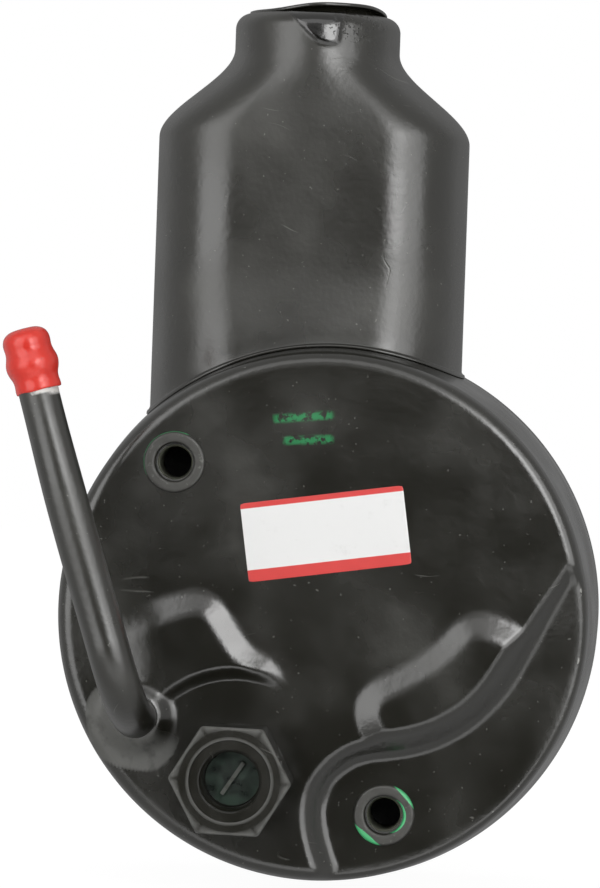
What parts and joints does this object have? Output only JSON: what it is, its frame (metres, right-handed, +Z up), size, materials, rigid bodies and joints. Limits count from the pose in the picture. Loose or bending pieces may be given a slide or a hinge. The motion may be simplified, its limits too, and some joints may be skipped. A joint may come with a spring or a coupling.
{
  "type": "power steering pump",
  "caption": "Vane pump for power steering inside a pressed black sheet reservoir with a tall filler neck, a capped return tube, a hex outlet fitting and a plain drive shaft.",
  "frame": {"origin": "on the shaft axis, in the plane of the front mounting bosses", "axes": "+Y along the shaft towards the drive end, +Z up along the filler neck, so the reservoir's rear face looks to -Y"},
  "size_m": [0.1423, 0.1848, 0.2152],
  "materials": {
    "black_paint": "satin",
    "painted_iron": "satin",
    "bare_steel": "satin",
    "bearing_bronze": "satin",
    "black_rubber": "matte",
    "green_rubber": "matte",
    "green_plastic": "gloss",
    "red_vinyl": "gloss",
    "magnet_grey": "matte"
  },
  "bodies": {
    "pump": {"reservoir_can": "black_paint", "filler_neck": "black_paint", "filler_collar": "black_paint", "return_tube": "black_paint", "tube_cap": "red_vinyl", "outlet_fitting": "black_paint", "fitting_o_ring": "black_rubber", "port_plug": "green_plastic", "stud_seals": "green_rubber", "pump_housing": "painted_iron", "reservoir_o_ring": "black_rubber", "magnet": "magnet_grey", "shaft_bushing": "bearing_bronze", "shaft_seal": "black_rubber", "thrust_plate": "bare_steel", "cam_ring": "bare_steel", "dowel_pins": "bare_steel", "pressure_plate": "bare_steel", "pressure_plate_o_ring": "black_rubber", "plate_spring": "bare_steel", "end_plate": "bare_steel", "end_plate_o_ring": "black_rubber", "retaining_ring": "bare_steel", "flow_valve_spring": "bare_steel"},
    "shaft": {"drive_shaft": "bare_steel", "rotor": "bare_steel", "rotor_clip": "bare_steel"},
    "valve": {"valve_spool": "bare_steel", "relief_seat": "bare_steel", "relief_spring": "bare_steel"},
    "relief": {"relief_ball": "bare_steel", "ball_guide": "bare_steel"},
    "vane_01": {"vane_01": "bare_steel"},
    "vane_02": {"vane_02": "bare_steel"},
    "vane_03": {"vane_03": "bare_steel"},
    "vane_04": {"vane_04": "bare_steel"},
    "vane_05": {"vane_05": "bare_steel"},
    "vane_06": {"vane_06": "bare_steel"},
    "vane_07": {"vane_07": "bare_steel"},
    "vane_08": {"vane_08": "bare_steel"},
    "vane_09": {"vane_09": "bare_steel"},
    "vane_10": {"vane_10": "bare_steel"}
  },
  "joints": [
    {"name": "shaft_spin", "type": "hinge", "parent": "pump", "child": "shaft", "pos_m": [0, 0, 0], "axis": [0, 1, 0], "continuous": true},
    {"name": "flow_valve_slide", "type": "slide", "parent": "pump", "child": "valve", "axis": [0, 1, 0], "range_m": [0, 0.01], "stiffness_N_per_m": 3500, "springref_m": -0.006, "deforming": ["flow_valve_spring"]},
    {"name": "relief_slide", "type": "slide", "parent": "valve", "child": "relief", "axis": [0, -1, 0], "range_m": [0, 0.0012], "stiffness_N_per_m": 8000, "springref_m": -0.002, "deforming": ["relief_spring"]},
    {"name": "vane_01_slide", "type": "slide", "parent": "shaft", "child": "vane_01", "axis": [0.6691, 0, 0.7431], "range_m": [0, 0.00018]},
    {"name": "vane_02_slide", "type": "slide", "parent": "shaft", "child": "vane_02", "axis": [0.1045, 0, 0.9945], "range_m": [0, 0.00152]},
    {"name": "vane_03_slide", "type": "slide", "parent": "shaft", "child": "vane_03", "axis": [-0.5, 0, 0.866], "range_m": [0, 0.00235]},
    {"name": "vane_04_slide", "type": "slide", "parent": "shaft", "child": "vane_04", "axis": [-0.9135, 0, 0.4067], "range_m": [0, 0.00152]},
    {"name": "vane_05_slide", "type": "slide", "parent": "shaft", "child": "vane_05", "axis": [-0.9781, 0, -0.2079], "range_m": [0, 0.00018]},
    {"name": "vane_06_slide", "type": "slide", "parent": "shaft", "child": "vane_06", "axis": [-0.6691, 0, -0.7431], "range_m": [0, 0.00018]},
    {"name": "vane_07_slide", "type": "slide", "parent": "shaft", "child": "vane_07", "axis": [-0.1045, 0, -0.9945], "range_m": [0, 0.00152]},
    {"name": "vane_08_slide", "type": "slide", "parent": "shaft", "child": "vane_08", "axis": [0.5, 0, -0.866], "range_m": [0, 0.00235]},
    {"name": "vane_09_slide", "type": "slide", "parent": "shaft", "child": "vane_09", "axis": [0.9135, 0, -0.4067], "range_m": [0, 0.00152]},
    {"name": "vane_10_slide", "type": "slide", "parent": "shaft", "child": "vane_10", "axis": [0.9781, 0, 0.2079], "range_m": [0, 0.00018]}
  ]
}
